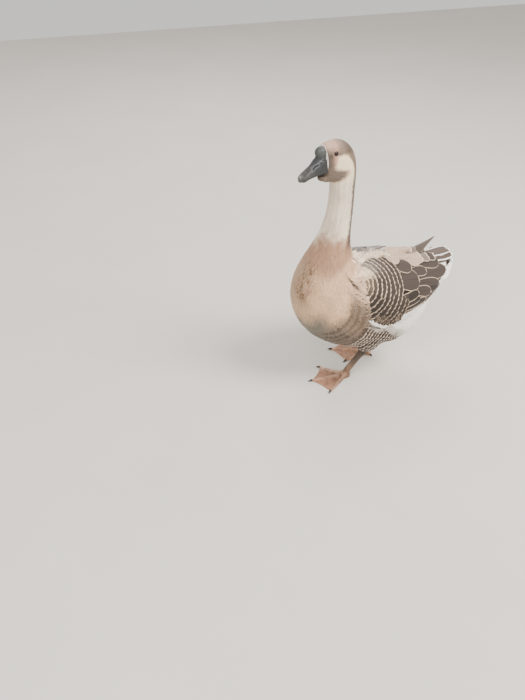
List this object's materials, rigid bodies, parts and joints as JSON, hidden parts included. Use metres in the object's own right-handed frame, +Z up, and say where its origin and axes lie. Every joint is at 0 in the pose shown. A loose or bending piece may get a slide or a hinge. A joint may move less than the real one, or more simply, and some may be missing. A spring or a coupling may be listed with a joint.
{
  "type": "domestic goose",
  "caption": "Standing knobbed domestic goose with upright neck, folded barred wings, short tail and webbed feet, as a still life-size model.",
  "frame": {"origin": "on the floor under the middle of the bird's bounding box", "axes": "+Z up, -Y the way the body faces, +X the bird's left side"},
  "size_m": [0.2453, 0.4478, 0.6103],
  "materials": {
    "cream_plumage": "matte feathers",
    "barred_plumage": "matte feathers",
    "brown_wing": "matte feathers",
    "slate_bill": "satin horn",
    "dark_eye": "wet gloss",
    "orange_foot": "scaled skin"
  },
  "bodies": {
    "root": {"bill_lower": "slate_bill", "bill_upper": "slate_bill", "eye_left": "dark_eye", "eye_right": "dark_eye", "foot_left": "orange_foot", "foot_right": "orange_foot", "head": "cream_plumage", "knob": "slate_bill", "neck_lower": "cream_plumage", "neck_upper": "cream_plumage", "raised_feather": "brown_wing", "shank_left": "orange_foot", "shank_right": "orange_foot", "tail": "brown_wing", "thigh_left": "barred_plumage", "thigh_right": "barred_plumage", "trunk": "cream_plumage", "wing_left": "brown_wing", "wing_right": "brown_wing", "wing_tip_left": "brown_wing", "wing_tip_right": "brown_wing"}
  },
  "joints": []
}
